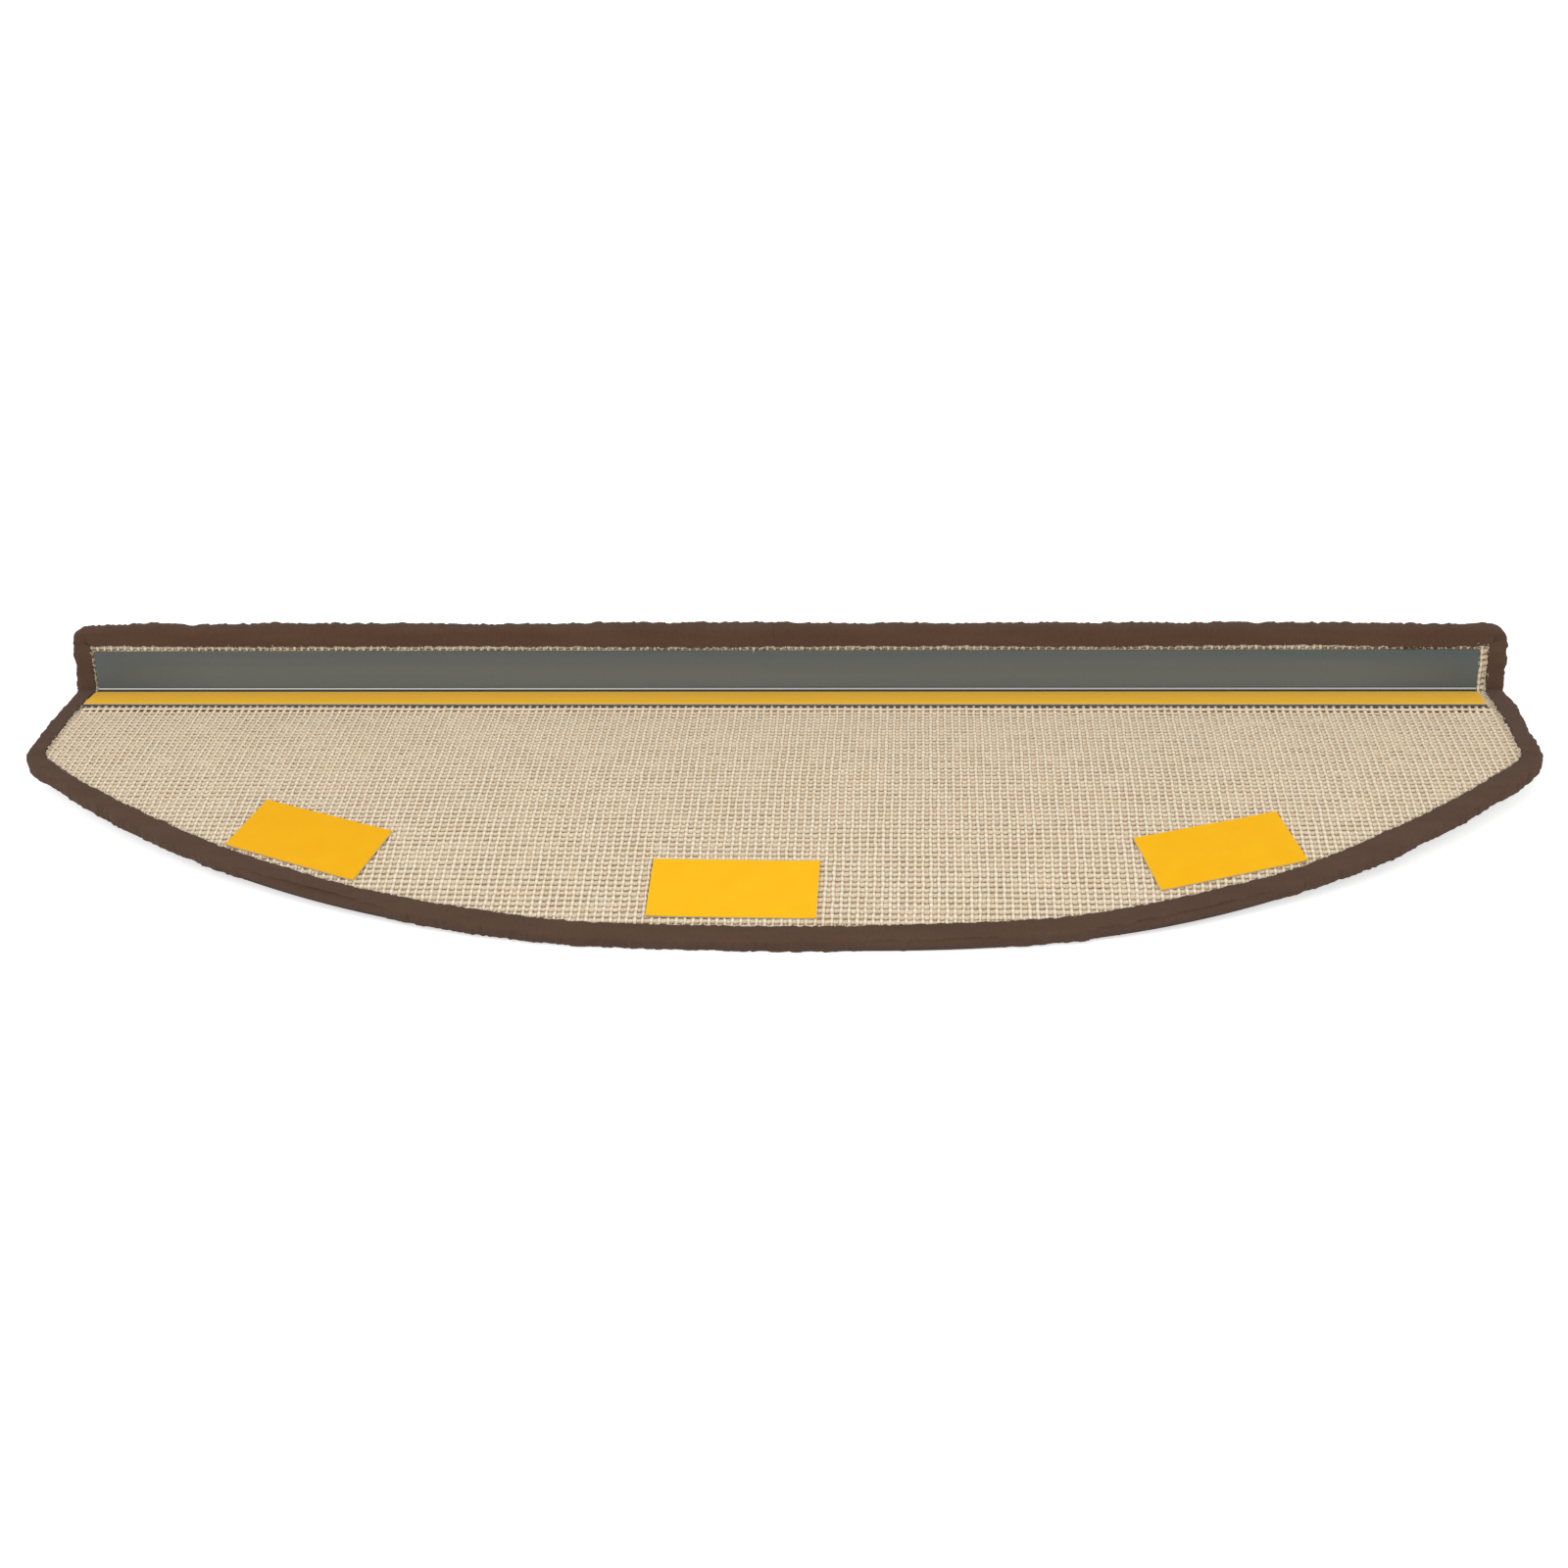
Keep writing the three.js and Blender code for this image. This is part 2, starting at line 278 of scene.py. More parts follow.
# The nodes of a material, or of the world
class Shader:
    def __init__(self, name, isWorld=False):
        self.owner = (bpy.data.worlds if isWorld else bpy.data.materials).new(name)
        self.owner.use_nodes = True
        self.tree = self.owner.node_tree
        self.surface = self.tree.nodes["Background" if isWorld else "Principled BSDF"]
        self.place = self.node("ShaderNodeTexCoord", {}, {}, "Object")

    # One node: its type, its own settings, and the values or links of its sockets
    def node(self, kind, settings, sockets, output=0):
        made = self.tree.nodes.new(kind)
        for key, value in settings.items():
            setattr(made, key, value)
        for key, value in sockets.items():
            if isinstance(value, Wire):
                self.tree.links.new(value.socket, made.inputs[key])
            else:
                made.inputs[key].default_value = value
        return Wire(self, made.outputs[output])

    # The fold's own axes at the shaded point, as in place(): across, forward and up
    def foldAxes(self):
        place = {"Vector": self.place}
        across, y, z = [self.node("ShaderNodeSeparateXYZ", {}, place, axis) for axis in "XYZ"]
        forward = (foldY - y) * math.cos(turn) + (z - foldZ) * math.sin(turn)
        up = (y - foldY) * math.sin(turn) + (z - foldZ) * math.cos(turn)
        return across, forward, up

    # Noise from 0 to 1 whose grains have a length, a width and a height in metres
    def grain(self, size, detail, roughness=0.5, turned=0.0):
        mapping = {"Vector": self.place, "Scale": [1 / part for part in size], "Rotation": (0, 0, turned)}
        moved = self.node("ShaderNodeMapping", {}, mapping)
        noise = {"Vector": moved, "Scale": 1.0, "Detail": detail, "Roughness": roughness}
        return self.node("ShaderNodeTexNoise", {}, noise, "Fac")

    # From 0 to 1 where the backing gets painted shade: near the nose and at the two ends
    def shaded(self):
        across, forward, up = self.foldAxes()
        back = self.ramp(forward, *paintedShadeReach["back"]) * self.ramp(forward, *paintedShadeReach["fold"])
        return back * paintedShadeReach["backShare"] + self.ramp(abs(across), *paintedShadeReach["ends"]) * paintedShadeReach["endsShare"]

    # 1 for the rays of the camera and of shiny surfaces, which see a white background
    def seen(self):
        rays = [self.node("ShaderNodeLightPath", {}, {}, ray) for ray in ("Is Camera Ray", "Is Glossy Ray")]
        return self.node("ShaderNodeMath", {"operation": "MAXIMUM"}, {0: rays[0], 1: rays[1]})

    def ramp(self, value, low, high):
        limits = {"Value": value, "From Min": low, "From Max": high}
        return self.node("ShaderNodeMapRange", {"clamp": True}, limits)

    # Each colour comes from a node, or is written as it looks on a screen
    def mix(self, factor, *colors):
        first, second = [color if isinstance(color, Wire) else tint(*color) for color in colors]
        return self.node("ShaderNodeMix", {"data_type": "RGBA"}, {0: factor, 6: first, 7: second}, 2)

    def bump(self, height, distance, strength, normal=None):
        sockets = {"Height": height, "Distance": distance, "Strength": strength}
        if normal:
            sockets["Normal"] = normal
        return self.node("ShaderNodeBump", {}, sockets)

    def finish(self, **sockets):
        for name, value in sockets.items():
            socket = self.surface.inputs[name.replace("_", " ")]
            if isinstance(value, Wire):
                self.tree.links.new(value.socket, socket)
            else:
                socket.default_value = value
        return self.owner


# A colour written as it looks on a screen, 0 to 255
def tint(red, green, blue):
    def linear(level):
        level = level / 255
        return level / 12.92 if level <= 0.04045 else ((level + 0.055) / 1.055) ** 2.4
    return linear(red), linear(green), linear(blue), 1.0


# low: painted shade on the flanks and between crossings; the last colour: painted shade near the nose and at
# the ends
weftColors = dict(
    light=((248, 228, 194), (255, 244, 218)), low=((190, 154, 114), (232, 200, 160)), rows=(250, 224, 190),
    patches=(250, 222, 190), twist=(186, 152, 114), fibres=(255, 250, 234), paintedShade=(206, 176, 140),
)


# Soft tan yarn with its plies twisted round it, darker low on its flanks and between the warps' crossings by
# painted shade
def weftFinish():
    s, colors = Shader("weftYarn"), weftColors
    crown = s.node("ShaderNodeAttribute", {"attribute_name": "crown"}, {}, "Fac")
    rows = s.ramp(s.grain((60 * mm, 2.6 * mm, 20 * mm), 1.0), 0.35, 0.65)
    slubs = s.ramp(s.grain((5 * mm, 1.9 * mm, 3 * mm), 2.0), 0.38, 0.66)
    patches = s.ramp(s.grain((55 * mm, 40 * mm, 40 * mm), 3.0), 0.4, 0.62)
    twist = s.ramp(s.grain((1.9 * mm, 0.7 * mm, 0.8 * mm), 2.0, 0.6, 0.5), 0.38, 0.62)
    fibres = s.ramp(s.grain((0.9 * mm, 0.2 * mm, 0.3 * mm), 3.0, 0.65, 0.4), 0.38, 0.64)
    light = s.mix(rows * 0.2, s.mix(slubs, *colors["light"]), colors["rows"])
    # painted shade: the low tint darkens the flanks and the stretches between crossings
    color = s.mix(s.ramp(crown, 0.0, 0.8), s.mix(slubs, *colors["low"]), light)
    color = s.mix(patches * 0.1, color, colors["patches"])
    color = s.mix(twist * 0.3, color, colors["twist"])
    color = s.mix(fibres * 0.38, color, colors["fibres"])
    # painted shade near the nose and at the two ends
    color = s.mix(s.shaded() * 0.16, color, colors["paintedShade"])
    normal = s.bump(fibres, 0.04 * mm, 0.8, s.bump(twist, 0.06 * mm, 0.8))
    return s.finish(Base_Color=color, Roughness=0.95, Normal=normal, Sheen_Weight=0.08, Sheen_Roughness=0.6,
                    Specular_IOR_Level=0.1)


# light: painted highlight over the wefts; low: painted shade under the thread and in its dips; the last
# colour: painted shade near the nose and at the ends
warpColors = dict(
    light=((255, 249, 224), (255, 254, 238)), low=(230, 198, 158),
    twist=(222, 188, 150), paintedShade=(212, 184, 148),
)


# Cream thread with a painted highlight where it rides over a weft, and painted shade under it and where it
# dips between wefts
def warpFinish():
    s, colors = Shader("warpYarn"), warpColors
    crown = s.node("ShaderNodeAttribute", {"attribute_name": "crown"}, {}, "Fac")
    lengths = s.ramp(s.grain((3 * mm, 12 * mm, 12 * mm), 1.0), 0.35, 0.65)
    twist = s.ramp(s.grain((0.28 * mm, 0.9 * mm, 0.5 * mm), 2.0, 0.6, 0.5), 0.36, 0.64)
    fibres = s.ramp(s.grain((0.1 * mm, 0.5 * mm, 0.2 * mm), 3.0, 0.6, 0.4), 0.36, 0.66)
    # painted highlight over each weft, painted shade under the thread and in its dips
    color = s.mix(s.ramp(crown, 0.15, 0.85), colors["low"], s.mix(lengths, *colors["light"]))
    color = s.mix(twist * 0.2, color, colors["twist"])
    # painted shade near the nose and at the two ends
    color = s.mix(s.shaded() * 0.06, color, colors["paintedShade"])
    normal = s.bump(fibres, 0.03 * mm, 0.8, s.bump(twist, 0.04 * mm, 0.8))
    return s.finish(Base_Color=color, Roughness=0.95, Normal=normal, Sheen_Weight=0.08, Sheen_Roughness=0.5,
                    Specular_IOR_Level=0.1)


groundColors = dict(coat=((224, 194, 154), (238, 210, 170)), gaps=(176, 140, 102))


def groundFinish():
    s = Shader("coatedGround")
    gaps = s.ramp(s.grain((3.2 * mm, 2.2 * mm, 3 * mm), 2.0), 0.47, 0.6)
    coat = s.grain((0.6 * mm, 0.4 * mm, 0.5 * mm), 3.0, 0.6)
    color = s.mix(gaps * 0.8, s.mix(s.ramp(coat, 0.35, 0.7), *groundColors["coat"]), groundColors["gaps"])
    normal = s.bump(coat, 0.15 * mm, 0.8)
    return s.finish(Base_Color=color, Roughness=0.9, Normal=normal, Specular_IOR_Level=0.2)


pileColors = dict(clumps=((66, 47, 37), (104, 79, 64)), shades=(90, 66, 52), fibres=(128, 101, 84))


def pileFinish():
    s = Shader("brownPile")
    clumps = s.grain((1.6 * mm, 1.6 * mm, 1.6 * mm), 3.0, 0.6)
    fibres = s.grain((0.25 * mm, 0.25 * mm, 0.9 * mm), 4.0, 0.7)
    shades = s.ramp(s.grain((35 * mm, 22 * mm, 22 * mm), 3.0), 0.38, 0.64)
    color = s.mix(s.ramp(clumps, 0.35, 0.7), *pileColors["clumps"])
    color = s.mix(shades * 0.35, color, pileColors["shades"])
    color = s.mix(s.ramp(fibres, 0.48, 0.75) * 0.4, color, pileColors["fibres"])
    normal = s.bump(fibres, 0.35 * mm, 0.9, s.bump(clumps, 0.5 * mm, 0.6))
    return s.finish(Base_Color=color, Roughness=0.96, Normal=normal, Sheen_Weight=0.25, Sheen_Roughness=0.5,
                    Specular_IOR_Level=0.15)


sergedLook = dict(
    bands=((91, 68, 55), (97, 74, 60)), strands=(80, 59, 47), fuzz=(108, 84, 69), flecks=(122, 96, 80),
    strandWidth=0.24 * mm, strandLength=3.2 * mm, strandTurn=0.5,
)


# Brown yarn sewn over the edge side by side, its strands running across the band
def sergedFinish():
    s, colors = Shader("sergedYarn"), sergedLook
    wrap = s.node("ShaderNodeAttribute", {"attribute_name": "wrap"}, {}, "Vector")
    strandScale = (1 / colors["strandWidth"], 1 / colors["strandLength"], 1)
    mapping = {"Vector": wrap, "Scale": strandScale, "Rotation": (0, 0, colors["strandTurn"])}
    sewn = s.node("ShaderNodeMapping", {}, mapping)
    strands = s.node("ShaderNodeTexNoise", {}, {"Vector": sewn, "Scale": 1.0, "Detail": 2.0}, "Fac")
    strands = s.ramp(strands, 0.34, 0.66)
    fuzz = s.grain((0.3 * mm, 0.3 * mm, 0.3 * mm), 4.0, 0.65)
    bands = s.ramp(s.grain((30 * mm, 6 * mm, 6 * mm), 3.0), 0.35, 0.68)
    flecks = s.ramp(s.grain((1.4 * mm, 0.7 * mm, 0.7 * mm), 2.0), 0.64, 0.76)
    color = s.mix(strands * 0.28, s.mix(bands, *colors["bands"]), colors["strands"])
    color = s.mix(s.ramp(fuzz, 0.5, 0.75) * 0.25, color, colors["fuzz"])
    color = s.mix(flecks * 0.16, color, colors["flecks"])
    normal = s.bump(fuzz, 0.16 * mm, 0.8, s.bump(strands, 0.14 * mm, 0.8))
    return s.finish(Base_Color=color, Roughness=0.95, Normal=normal, Sheen_Weight=0.06, Sheen_Roughness=0.5,
                    Specular_IOR_Level=0.08)


profileLook = dict(
    # lower: painted light low on the wall; ends: painted darker reflection; leg: painted shade; corner:
    # painted highlight
    flow=((76, 84, 82), (87, 88, 85)), lower=(109, 112, 107), ends=(70, 76, 76), specks=(128, 128, 120),
    leg=(36, 36, 35), corner=(178, 178, 171),
    # where each painted highlight, painted shade and darker end starts and is full; the first three count
    # from the fillet's end
    highlightWall=(-0.38 * mm, -0.5 * mm), highlightLeg=(-0.3 * mm, -0.45 * mm), shadeLeg=(0.05 * mm, -0.15 * mm),
    shadeForward=(30 * mm, 6 * mm), endsAcross=(224 * mm, 263.2 * mm),
)


# Grey plastic, smoother in the inner corner, with a painted highlight there, painted shade on the leg beside
# the tape, painted light low on the wall and a painted darker reflection at its two ends
def profileFinish():
    s, colors = Shader("greyPlastic"), profileLook
    across, forward, up = s.foldAxes()
    filletEnd = profile["seat"] + profile["wall"] + profile["fillet"]

    def beyondFillet(distance, name):
        return s.ramp(distance, *[filletEnd + limit for limit in colors[name]])

    # painted highlight in the inner fillet
    corner = beyondFillet(forward, "highlightWall") * beyondFillet(up, "highlightLeg")
    # painted shade on the leg between the fillet and the tape
    leg = beyondFillet(up, "shadeLeg") * s.ramp(forward, *colors["shadeForward"])
    # painted darker reflection toward the two ends
    ends = s.ramp(abs(across), *colors["endsAcross"])
    flow = s.grain((160 * mm, 4 * mm, 4 * mm), 3.0, 0.55)
    drawn = s.grain((45 * mm, 0.35 * mm, 0.35 * mm), 3.0, 0.6)
    specks = s.ramp(s.grain((0.7 * mm, 0.5 * mm, 0.5 * mm), 2.0), 0.66, 0.74)
    color = s.mix(s.ramp(flow, 0.35, 0.68), *colors["flow"])
    # painted light: the wall lighter toward its bottom
    color = s.mix(s.ramp(up, profile["rise"], filletEnd) * 0.8, color, colors["lower"])
    color = s.mix(ends * 0.5, color, colors["ends"])
    color = s.mix(specks * 0.3, color, colors["specks"])
    color = s.mix(leg * 0.95, color, colors["leg"])
    color = s.mix(corner, color, colors["corner"])
    rough = 0.38 + s.ramp(flow, 0.3, 0.7) * 0.14 - corner * 0.12
    normal = s.bump(drawn, 0.03 * mm, 0.4)
    return s.finish(Base_Color=color, Roughness=rough, Normal=normal, Specular_IOR_Level=0.4)


# back: painted light rising toward the strip's back edge
paperColors = dict(
    strip=((236, 180, 36), (243, 187, 58)), left=((246, 178, 6), (248, 183, 10)),
    centre=((255, 190, 16), (255, 194, 22)), right=((250, 184, 8), (252, 189, 14)),
    pulp=(255, 206, 80), back=(255, 198, 78), rim=(252, 206, 100), rimWidth=(1.6 * mm, 0.6 * mm),
)


# Waxed yellow paper; the long strip is streaked along its length, paler at its cut edges, and brighter toward
# its back edge by painted light against the plate's shade
def linerFinish(name, which):
    s, colors, isStrip = Shader(name), paperColors, which == "strip"
    streaks = s.grain((120 * mm, 0.7 * mm, 0.7 * mm) if isStrip else (9 * mm, 9 * mm, 9 * mm), 3.0, 0.58)
    pulp = s.grain((0.35 * mm, 0.35 * mm, 0.35 * mm), 3.0, 0.6)
    cockle = s.grain((14 * mm, 9 * mm, 9 * mm), 2.0, 0.5)
    color = s.mix(s.ramp(streaks, 0.34, 0.68), *colors[which])
    color = s.mix(s.ramp(pulp, 0.55, 0.8) * 0.12, color, colors["pulp"])
    if isStrip:
        across, forward, up = s.foldAxes()
        fromMiddle, half = forward - linerForward, strip["width"] / 2
        # painted light toward the back edge, against the shade of the plate's wall
        color = s.mix(s.ramp(fromMiddle, 0.8 * half, -half) * 0.9, color, colors["back"])
        rim = s.ramp(abs(fromMiddle), *[half - width for width in colors["rimWidth"]])
        color = s.mix(rim * 0.35, color, colors["rim"])
    rough = 0.46 + s.ramp(cockle, 0.3, 0.7) * 0.15
    normal = s.bump(pulp, 0.02 * mm, 0.5, s.bump(cockle, 0.25 * mm, 0.4))
    return s.finish(Base_Color=color, Roughness=rough, Normal=normal, Specular_IOR_Level=0.15)


def tapeFinish():
    s = Shader("adhesiveFoam")
    cells = s.grain((0.4 * mm, 0.4 * mm, 0.25 * mm), 3.0, 0.6)
    color = s.mix(s.ramp(cells, 0.4, 0.7), (196, 186, 160), (224, 216, 194))
    return s.finish(Base_Color=color, Roughness=0.55, Normal=s.bump(cells, 0.06 * mm, 0.7))


weft = dict(
    pitch=2.45 * mm, halfWidth=1.3 * mm, halfHeight=0.38 * mm, centre=-0.44 * mm, dip=0.1 * mm,
    pinch=0.24, underBinding=3 * mm, wander=0.4 * mm, shake=0.34 * mm,
    hidden=(-14 * mm, 16 * mm), hiddenEnds=30 * mm,     # rows wholly under the plate, but for their ends
    section=((-1, -0.3), (-0.42, 0.8), (0.3, 0.86), (1, -0.3), (0, -0.75)),
    # how lit each corner of the section is painted, 1 on top; lower between the crossings: painted shade
    crowns=(0.0, 1.0, 1.0, 0.4, 0.0), lightBetween=0.3,
)
warp = dict(
    pitch=2.76 * mm, halfWidth=0.76 * mm, halfHeight=0.27 * mm, centre=-0.15 * mm, dip=0.12 * mm,
    stray=0.5 * mm, underBinding=3 * mm, past=0.6 * mm, wander=0.5 * mm, shake=0.42 * mm,
    push=0.4 * mm, pushedAt=(0.05, 0.4, 1.2),           # in mm, where the plate's leg pushes the thread up
    # each corner's painted light: painted highlight on top, painted shade below and between the wefts
    section=((-1, 0), (0, 1), (1, 0), (0, -1)), crowns=(0.8, 1.0, 0.8, 0.0), lightBetween=0.2,
)
leg = dict(                                             # how the backing lies at the plate's leg
    touch=0.08 * mm, release=7 * mm, bulge=0.75 * mm, bulgeAt=1 * mm, bulgeSpread=1.8 * mm,
    besideBinding=0.4 * mm, settle=3 * mm,
)


# Rows of the backing's thick weft, in the flat mat
def weftRows():
    back = weft["underBinding"] - mat["flapHeight"]
    front = mat["treadDepth"] - weft["underBinding"]
    count = int((front - back) / weft["pitch"])
    return back + weft["pitch"] * np.arange(count + 1)


# Places across the flat mat where a warp thread runs
def warpColumns():
    edge = mat["halfWidth"] - warp["underBinding"]
    count = int(2 * edge / warp["pitch"])
    columns = (np.arange(count + 1) - count / 2) * warp["pitch"]
    return columns + warp["stray"] * (softNoise(columns, 0, 18 * mm, 3) - 0.5)


# The backing lies flat against the plate's leg, bulges just in front of it and bows from there
def heldUp(x, forward):
    legFront = profile["seat"] + profile["reach"]
    under = np.clip(forward - mat["foldRadius"], 0, legFront - mat["foldRadius"])
    ahead = np.maximum(forward - legFront, 0)
    lift = under ** 2 / (2 * mat["bowRadius"]) + leg["touch"] * (under > 0)
    lift = lift * np.exp(-(ahead / leg["release"]) ** 2)
    lift = lift + leg["bulge"] * (ahead > 0) * np.exp(-((ahead - leg["bulgeAt"]) / leg["bulgeSpread"]) ** 2)
    bindingStart = mat["halfWidth"] - binding["width"] - leg["besideBinding"]
    return lift * np.clip((bindingStart - abs(x)) / leg["settle"], 0, 1)


def yarnTubes(name, yarns, material):
    points, crowns, quads, caps, start = [], [], [], [], 0
    for ring, crown in yarns:                       # stations along, then corners around
        stations, corners = ring.shape[:2]
        points.append(ring.reshape(-1, 3))
        crowns.append(np.broadcast_to(crown, (stations, corners)).ravel())
        quads.append(gridQuads(stations, corners, closeColumns=True, start=start))
        caps.append(list(range(start + corners - 1, start - 1, -1)))
        caps.append(list(range(start + (stations - 1) * corners, start + stations * corners)))
        start += stations * corners
    points, quads = np.concatenate(points), np.concatenate(quads)
    piece = addPiece(name, points, quads, material, "carpet", caps)
    # each corner's painted light level, read by the yarn materials
    piece.data.attributes.new("crown", "FLOAT", "POINT").data.foreach_set("value", np.concatenate(crowns))
    return piece


# One weft yarn: thick and soft, pinched and pushed down where each warp crosses it
def weftYarn(forward, columns, number):
    left = -float(reachAt(forward, weft["underBinding"], -1))
    right = float(reachAt(forward, weft["underBinding"], 1))
    inside = columns[(columns > left + 1 * mm) & (columns < right - 1 * mm)]
    if len(inside) < 3:
        return None
    between = (inside[1:] + inside[:-1]) / 2
    x = np.sort(np.concatenate([[left], inside, between, [right]]))
    if weft["hidden"][0] < forward < weft["hidden"][1]:
        x = x[(abs(x) > mat["halfWidth"] - weft["hiddenEnds"]) | (np.arange(len(x)) % 4 == 0)]
    crossed = np.isin(x, inside)
    offset = weft["wander"] * (softNoise(x, forward, 21 * mm, 11) - 0.5)
    offset = offset + weft["shake"] * (softNoise(x, forward + number, 3.5 * mm, 12) - 0.5)
    wide = weft["halfWidth"] * (0.8 + 0.4 * softNoise(x, forward * 9, 6 * mm, 13))
    wide = wide * np.where(crossed, 1 - weft["pinch"], 1)
    tall = weft["halfHeight"] * (0.9 + 0.18 * softNoise(x, forward * 7, 5 * mm, 14))
    centre = weft["centre"] - np.where(crossed, weft["dip"], 0) + heldUp(x, forward + offset)
    section = np.array(weft["section"])
    ring = bend(
        x[:, None],
        (forward + offset)[:, None] + wide[:, None] * section[None, :, 0],
        centre[:, None] + tall[:, None] * section[None, :, 1],
    )
    return ring, np.where(crossed, 1.0, weft["lightBetween"])[:, None] * np.array(weft["crowns"])


# One warp thread: thin, over every weft and down between them
def warpYarn(x, rows, number):
    front = float(forwardAt(x, warp["underBinding"]))
    inside = rows[rows < front - 1 * mm]
    if len(inside) < 3:
        return None
    start = warp["underBinding"] - mat["flapHeight"]
    between = (inside[1:] + inside[:-1]) / 2
    legFront = profile["seat"] + profile["reach"]
    pushed = legFront + np.array(warp["pushedAt"]) * mm
    forward = np.sort(np.concatenate([[start - warp["past"]], inside, between, pushed, [front]]))
    crossed = np.isin(forward, inside)
    offset = warp["wander"] * (softNoise(x, forward, 26 * mm, 21) - 0.5)
    offset = offset + warp["shake"] * (softNoise(x * 5, forward + number, 2.6 * mm, 22) - 0.5)
    wide = warp["halfWidth"] * (0.75 + 0.55 * softNoise(x * 9, forward, 3 * mm, 23))
    wide = wide * np.where(crossed, 1.1, 0.85)
    centre = warp["centre"] - np.where(crossed, 0, warp["dip"])
    raised = warp["push"] * (0.5 + 0.8 * softNoise(x, number, 2 * mm, 24))
    centre = centre + np.where(np.isclose(forward, pushed[1]), raised + warp["dip"], 0) + heldUp(x, forward)
    section = np.array(warp["section"])
    ring = bend(
        (x + offset)[:, None] - wide[:, None] * section[None, :, 0],
        forward[:, None],
        centre[:, None] + warp["halfHeight"] * section[None, :, 1],
    )
    return ring, np.where(crossed, 1.0, warp["lightBetween"])[:, None] * np.array(warp["crowns"])


def wovenBacking():
    rows, columns = weftRows(), warpColumns()
    wefts = [yarn for n, forward in enumerate(rows) if (yarn := weftYarn(forward, columns, n))]
    warps = [yarn for n, x in enumerate(columns) if (yarn := warpYarn(x, rows, n))]
    weftMaterial, warpMaterial = weftFinish(), warpFinish()
    halfWay, middle = len(wefts) // 2, len(warps) // 2
    pieces = [
        yarnTubes("weft_back", wefts[:halfWay], weftMaterial),
        yarnTubes("weft_front", wefts[halfWay:], weftMaterial),
        yarnTubes("warp_left", warps[:middle], warpMaterial),
        yarnTubes("warp_right", warps[middle:], warpMaterial),
    ]
    print("woven backing:", len(wefts), "wefts and", len(warps), "warps")
    return pieces


pile = dict(
    top=-1.2 * mm, grid=1.12 * mm, tuft=2.1 * mm, rise=0.55 * mm, edgeInset=1.05 * mm, mean=4.25 * mm,
    swell=0.25 * mm, swellSize=14 * mm, past=0.15 * mm, ground=0.5 * mm, groundRows=150,
)


# Height of the pile's tufts from 0 to 1, over the flat mat
def tufts(x, forward):
    u, v = x / pile["tuft"], forward / pile["tuft"]
    jitter = np.random.default_rng(31).random((64, 64, 3))
    best = np.full(np.broadcast(u, v).shape, 9.0)
    height = np.zeros_like(best)
    for du in (-1, 0, 1):
        for dv in (-1, 0, 1):
            iu, iv = np.floor(u).astype(int) + du, np.floor(v).astype(int) + dv
            cell = jitter[iu % 64, iv % 64]
            away = (iu + cell[..., 0] - u) ** 2 + (iv + cell[..., 1] - v) ** 2
            nearer = away < best
            best = np.where(nearer, away, best)
            height = np.where(nearer, cell[..., 2], height)
    return np.clip(1 - best * 1.5, 0, 1) * (0.6 + 0.4 * height)


# The carpet itself: a bent sheet with its brown pile below and behind
def carpetBody():
    inset = pile["edgeInset"]
    back, front = inset - mat["flapHeight"], mat["treadDepth"] - inset
    rows = round((front - back) / pile["grid"])
    forward = np.linspace(back + 0.02 * mm, front - 0.02 * mm, rows)
    foldRows = np.abs(forward) < mat["foldRadius"]
    extra = np.linspace(-mat["foldRadius"], mat["foldRadius"], 10)
    forward = np.sort(np.concatenate([forward[~foldRows], extra]))
    left, right = -reachAt(forward, inset, -1), reachAt(forward, inset, 1)
    columns = round(2 * mat["halfWidth"] / pile["grid"])
    share = np.linspace(0, 1, columns)[None, :]
    x = left[:, None] * (1 - share) + right[:, None] * share
    along = np.broadcast_to(forward[:, None], x.shape)
    deep = pile["mean"] + pile["rise"] * (tufts(x, along) - 0.45)
    deep = deep + pile["swell"] * (softNoise(x, along, pile["swellSize"], 32) - 0.5)
    deep = np.minimum(deep, mat["thickness"] + pile["past"])
    low = bend(x, along, -deep)
    top = bend(np.stack([left, right], -1), forward[:, None], pile["top"])
    rowCount, start = len(forward), low.shape[0] * low.shape[1]
    quads = [gridQuads(rowCount, columns)]
    r = np.arange(rowCount - 1)
    topLeft, topRight = start + 2 * r, start + 2 * r + 1
    quads.append(np.stack([topRight, topLeft, topLeft + 2, topRight + 2], -1))
    lowLeft, lowRight = r * columns, r * columns + columns - 1
    quads.append(np.stack([topLeft, lowLeft, lowLeft + columns, topLeft + 2], -1))
    quads.append(np.stack([lowRight, topRight, topRight + 2, lowRight + columns], -1))
    last = (rowCount - 1) * columns
    caps = [
        list(range(columns - 1, -1, -1)) + [start, start + 1],
        list(range(last, last + columns)) + [start + 2 * rowCount - 1, start + 2 * rowCount - 2],
    ]
    points = np.concatenate([low.reshape(-1, 3), top.reshape(-1, 3)])
    quads = np.concatenate(quads)
    piece = addPiece("carpet_body", points, quads, pileFinish(), "carpet", caps)
    print("carpet body:", rowCount, "by", columns)
    return piece


